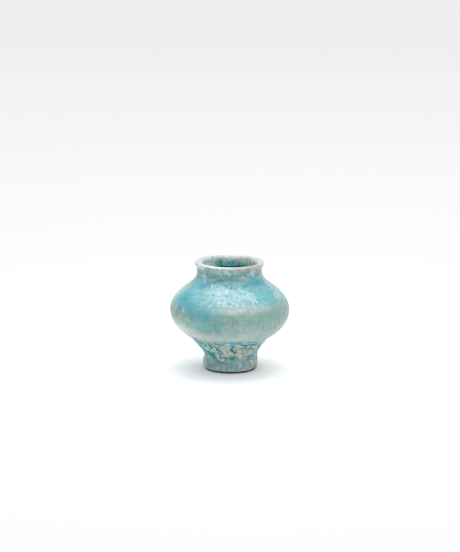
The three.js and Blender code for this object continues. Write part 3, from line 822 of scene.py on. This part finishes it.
def crusted_over(tree, colour, crust, place, patchy, fine, tone):
    """The buff crust, ragged, with partly painted highlight along its broken rims and a dark outline,
    partly painted shade.
    """
    ragged = scaled(tree, fine, 1.2, reckon(tree, "SUBTRACT", crust, 1.1))
    ragged = scaled(tree, patchy, 1.0, ragged)
    crusted = share(tree, ragged, 0.22, 0.82)
    buff = blend(tree, share(tree, patchy, 0.4, 0.6), paint(214, 207, 190), paint(182, 187, 168))
    buff = blend(tree, share(tree, fine, 0.48, 0.62), buff, paint(162, 170, 150))
    green = share(tree, mottle(tree, place, 2.2 * mm, 2, seed=5.0), 0.5, 0.6)
    buff = blend(tree, times(tree, green, 0.6), buff, paint(132, 158, 130))
    buff = blend(tree, 0.8, buff, tone, "OVERLAY")
    whole = scaled(tree, share(tree, patchy, 0.42, 0.56), 0.25, 0.75)
    colour = blend(tree, times(tree, crusted, whole), colour, buff)
    # A dark outline round the crust, partly painted shade.
    outline = times(tree, share(tree, ragged, 0.05, 0.28), share(tree, ragged, 0.5, 0.32))
    colour = blend(tree, times(tree, outline, 0.4), colour, paint(44, 92, 98))
    # Light broken rims, partly painted highlight.
    rim_highlight = times(tree, share(tree, ragged, 0.45, 0.6), share(tree, ragged, 0.8, 0.62))
    return blend(tree, times(tree, rim_highlight, 0.5), colour, paint(214, 214, 200)), crusted


def hem_crest_highlights_and_pits(tree, colour, mask, bent, patchy, fine):
    """A painted highlight along the rolled hem, the worn crest of the lip with a painted highlight on
    it, and small pits.
    """
    # Painted highlight: a pale band along the rolled lower edge of the glaze.
    hem_highlight = scaled(tree, share(tree, patchy, 0.42, 0.56), 0.5, 0.25)
    colour = blend(tree, times(tree, mask["hem_highlight"], hem_highlight), colour, paint(182, 200, 196))
    # The worn crest, partly painted highlight.
    wear_and_highlight = scaled(tree, fine, 1.1, reckon(tree, "SUBTRACT", mask["wear_and_highlight"], 0.5))
    wear_and_highlight = scaled(tree, patchy, 0.8, reckon(tree, "SUBTRACT", wear_and_highlight, 0.4))
    wear_and_highlight = times(tree, share(tree, wear_and_highlight, 0.35, 1.15), 0.9)
    colour = blend(tree, wear_and_highlight, colour, paint(220, 232, 229))
    pits = node(tree, "TexVoronoi", {"Vector": bent, "Scale": 1 / (2.1 * mm)}).outputs
    luck = node(tree, "SeparateColor", {0: pits["Color"]}).outputs
    pit = times(tree, share(tree, pits["Distance"], 0.2, 0.1), share(tree, luck[0], 0.76, 0.8))
    pit = times(tree, pit, share(tree, mask["wear_and_highlight"], 0.3, 0.0))
    return blend(tree, times(tree, pit, 0.5), colour, paint(84, 110, 108)), pit


def weathered_glaze():
    """The glaze in its washed tones, with runs, rings, silvery flakes and the crust over them."""
    material, tree, shader, place = finish("weathered_glaze")
    names = ("crust", "stem", "aged", "silver", "hem_highlight", "wear_and_highlight")
    mask = {name: node(tree, "Attribute", {}, attribute_name=name).outputs["Fac"] for name in names}
    tint = node(tree, "Attribute", {}, attribute_name="tint").outputs["Color"]
    bent = swirled(tree, place)
    cloud = mottle(tree, place, 5 * mm, 3)
    patchy = mottle(tree, place, 2.4 * mm, 4, rough=0.6)
    fine = mottle(tree, place, 0.9 * mm, 3, rough=0.6)
    speck = mottle(tree, place, 0.45 * mm, 2)
    runs = mottle(tree, place, 1.5 * mm, 3, stretch=(1, 1, 6))
    rings = mottle(tree, place, 0.7 * mm, 3, stretch=(16, 16, 0.8))

    # Clear and dull clouds in the film, and its tone, uneven in blotches, runs, rings and grain
    clearer = times(tree, share(tree, cloud, 0.5, 0.68), 0.3)
    colour = blend(tree, clearer, tint, paint(84, 160, 168))
    duller = times(tree, share(tree, cloud, 0.5, 0.32), 0.22)
    colour = blend(tree, duller, colour, paint(158, 172, 164))
    tone = toned(tree, [(patchy, 0.5), (runs, 0.25), (rings, 0.2), (fine, 0.35), (speck, 0.15)])
    colour = blend(tree, 1.0, colour, tone, "OVERLAY")
    colour = node(tree, "HueSaturation", {"Saturation": 1.07, "Color": colour}).outputs[0]

    # Old blotches on the collar and the foot, then clear glass and broken film round the stem
    blotch = mottle(tree, bent, 2.6 * mm, 3, rough=0.6, seed=2.0)
    dark = (0.5, 0.38, 0.5, (84, 128, 132))
    light = (0.52, 0.64, 0.5, (176, 194, 188))
    colour = patched(tree, colour, blotch, mask["aged"], dark, light)
    broken = mottle(tree, bent, 1.9 * mm, 3, stretch=(1.5, 1.5, 1), seed=6.0)
    dark = (0.5, 0.4, 0.75, (54, 118, 132))
    light = (0.52, 0.6, 0.7, (186, 212, 204))
    colour = patched(tree, colour, broken, mask["stem"], dark, light)

    colour, flake = silvered(tree, colour, mask["silver"], bent, patchy)
    colour, crusted = crusted_over(tree, colour, mask["crust"], place, patchy, fine, tone)
    colour, pit = hem_crest_highlights_and_pits(tree, colour, mask, bent, patchy, fine)

    dull = scaled(tree, fine, 0.3, 0.26)
    dull = scaled(tree, crusted, 0.4, dull)
    dull = scaled(tree, flake, -0.12, dull)
    surfaced(tree, shader, colour, reckon(tree, "MINIMUM", dull, 0.92))
    raised(
        tree, shader,
        [(rings, 0.08 * mm), (fine, 0.06 * mm), (flake, 0.03 * mm), (crusted, 0.1 * mm),
         (reckon(tree, "SUBTRACT", 1.0, pit), 0.15 * mm)],
    )
    return material


coat.data.materials.append(weathered_glaze())
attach(coat, "root")
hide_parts("outside_glaze")

# Inside glaze
# The coat that was poured in and out again. It is deepest blue where it ran down the neck and
# gathered on the floor, and dull grey green elsewhere. It meets the outside coat inside the lip.

lining_step = 0.7 * mm
lining_clay_step = 3.5 * mm
lip_inside = 18.3 * mm  # the lining's upper end lies inside this radius
lining_pitch = 3.1 * mm
lining_depth = 0.06 * mm
lining_grain = 0.08 * mm
lining_free = (60 * mm, 66 * mm)  # its relief fades out where it meets the outside coat

# The same kind of washes, for the inside. The darkest washes, low on the back wall, are painted shadow,
# and the dim band round the neck below them is painted shade.
inner_washes = [
    (0, 66, 360, 9, 1, "neck"), (0, 22, 360, 9, 0.9, "well"), (20, 60, 30, 6, 0.6, "lagoon"),
    (300, 58, 25, 6, 0.6, "lagoon"), (-30, 68, 40, 3, 0.6, "shell"), (60, 67, 30, 3, 0.6, "shell"),
    (232, 67, 16, 7, 1, "haze"), (250, 66, 14, 7, 0.9, "haze"), (190, 69.5, 5, 3, 0.4, "mist"),
    (201, 66, 6, 4.5, 0.9, "reef"), (176, 66, 8, 4.5, 1, "well"), (190, 65.5, 4, 4, 0.6, "slate"),
    (160, 66, 6, 4, 0.8, "slate"), (146, 65.3, 9, 2.8, 0.9, "reef"), (118, 67, 14, 6, 0.9, "shell"),
    (116, 70, 16, 3, 0.8, "frost"), (140, 70.8, 26, 1.9, 0.85, "bisque"),
    (180, 71.9, 80, 2, 0.9, "pearl"), (128, 72, 22, 1.6, 0.6, "cream"), (178, 65.1, 44, 1.2, 1, "painted_inner_shadow"),
    (176, 65.6, 16, 0.9, 0.9, "painted_inner_shadow"), (200, 65.5, 9, 1, 0.8, "painted_inner_shadow"), (178, 64.6, 46, 1.2, 1, "painted_inner_shadow"),
    (0, 60, 360, 3, 0.8, "dim"), (180, 62, 60, 2.4, 0.8, "dim"),
]

lining_section = section("inside_glaze")
lip_end = int(np.argmax(lining_section[:, 1] + (lining_section[:, 0] < lip_inside) * mm))
lining_back = smoothly(lining_section[:lip_end], lining_clay_step)
lining_face = smoothly(lining_section[lip_end:], lining_step)
lining = turned("weathered_inside_glaze", np.concatenate([lining_back, lining_face]), closed=False)
number, angle, radius, height = vertices_of(lining)
inner = number >= len(lining_back)
place = places_of(angle[inner], radius[inner], height[inner])
drift = uneven(place, 6 * mm, 3, seed=11)
sway = uneven(place, 6 * mm, 3, seed=12)
small = uneven(place, 2.0 * mm, 3, seed=13)
tint = np.tile(paint(*tones["film"]), (len(number), 1))
strength = np.clip(1 + 0.4 * small, 0, 1.3)
tint[inner] = washed(angle[inner] + 3 * drift, height[inner] + 0.6 * mm * sway, inner_washes, strength)
store(lining, "tint", tint)
free = fall(height[inner], *lining_free)
facing = normals_of(lining_face)[number[inner] - len(lining_back)]
lines = np.sin(2 * math.pi * height[inner] / lining_pitch + np.radians(angle[inner]))
relief = (lining_depth * lines + lining_grain * small) * free * rise(radius[inner], 0, 6 * mm)
radius[inner] = radius[inner] + relief * facing[:, 0]
height[inner] = height[inner] + relief * facing[:, 1]
radius, height = by_hand(angle, radius, height)
move(lining, angle, radius, height, corner_angle=50)


def inside_finish():
    """The same glaze kept from the light, in its washed tones, with long runs and a fine grain."""
    material, tree, shader, place = finish("inside_glaze")
    tint = node(tree, "Attribute", {}, attribute_name="tint").outputs["Color"]
    patchy = mottle(tree, place, 2.2 * mm, 4, rough=0.6)
    fine = mottle(tree, place, 0.8 * mm, 4, rough=0.65)
    runs = mottle(tree, place, 1.3 * mm, 3, stretch=(1, 1, 6))
    upright = share(tree, node(tree, "SeparateXYZ", {0: place}).outputs[2], 10 * mm, 35 * mm)
    runs = scaled(tree, reckon(tree, "SUBTRACT", runs, 0.5), upright, 0.5)
    tone = toned(tree, [(patchy, 0.6), (runs, 1.1), (fine, 0.35)])
    colour = blend(tree, 1.0, tint, tone, "OVERLAY")
    colour = node(tree, "HueSaturation", {"Saturation": 1.12, "Color": colour}).outputs[0]
    surfaced(tree, shader, colour, scaled(tree, fine, 0.3, 0.25))
    raised(tree, shader, [(runs, 0.06 * mm), (fine, 0.06 * mm)])
    return material


lining.data.materials.append(inside_finish())
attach(lining, "root")
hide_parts("inside_glaze")

# Floor, light and camera
# A plain pale floor under a bright even sky, one large soft light overhead, and a camera
# a metre away that looks a little down on the jar, as in the photograph.

floor_radius = 30.0
floor_light_pool = (0.09, 0.24)  # painted pool of light: the paper is brightest round the jar
floor_dulls = (0.22, 0.5)
floor_clears = (0.7, 3.0)  # all three are distances from it in metres
sky_strength = 0.98
lamp_place = (0.1, 0.3, 1.7)
lamp_aim = 40 * mm
lamp_size = 2.0
lamp_power = 16.5
aim_height = 30.3 * mm
camera_distance = 1.0365
look_down = math.radians(13)
tilt = math.radians(11.245)
camera_right = 0.2 * mm
focal_pixels = 1544
frame_pixels = 552
sensor = 36

shape = bmesh.new()
bmesh.ops.create_circle(shape, cap_ends=True, radius=floor_radius, segments=96)
floor_mesh = bpy.data.meshes.new("pale_floor")
shape.to_mesh(floor_mesh)
shape.free()
floor = placed("pale_floor", floor_mesh)
material, tree, shader, place = finish("pale_floor")
reach = node(tree, "VectorMath", {0: place}, operation="LENGTH").outputs["Value"]
tone = mottle(tree, place, 0.6, 2)
# Painted light: the floor's colour is brightest in a pool round the jar, which also lightens the jar's
# shadow, then darker, then lighter again far off.
colour = blend(tree, share(tree, tone, 0.3, 0.7), paint(253, 253, 255), paint(254, 254, 255))
colour = blend(tree, share(tree, reach, *floor_light_pool), colour, paint(226, 226, 228))
colour = blend(tree, share(tree, reach, *floor_dulls), colour, paint(220, 220, 222))
colour = blend(tree, share(tree, reach, *floor_clears), colour, paint(240, 240, 242))
tree.links.new(colour, shader.inputs["Base Color"])
shader.inputs["Roughness"].default_value = 0.9
shader.inputs["Specular IOR Level"].default_value = 0.1
floor.data.materials.append(material)

sky = bpy.data.worlds.new("even_sky")
sky.use_nodes = True
background = sky.node_tree.nodes["Background"]
background.inputs["Color"].default_value = (1.0, 0.995, 1.0, 1)
background.inputs["Strength"].default_value = sky_strength
bpy.context.scene.world = sky
bpy.context.scene.view_settings.view_transform = "Standard"

lamp = bpy.data.lights.new("overhead", "AREA")
lamp.shape = "SQUARE"
lamp.size = lamp_size
lamp.energy = lamp_power
overhead = placed("overhead", lamp)
overhead.location = lamp_place
towards_jar = Vector((0, 0, lamp_aim)) - Vector(lamp_place)
overhead.rotation_euler = towards_jar.to_track_quat("-Z", "Y").to_euler()

view = bpy.data.cameras.new("view")
view.sensor_width = sensor
view.lens = sensor * focal_pixels / frame_pixels
view.clip_end = 100
camera = placed("view", view)
camera.location = (
    camera_right,
    -camera_distance * math.cos(look_down),
    aim_height + camera_distance * math.sin(look_down),
)
camera.rotation_euler = (math.pi / 2 - tilt, 0, 0)
bpy.context.scene.camera = camera
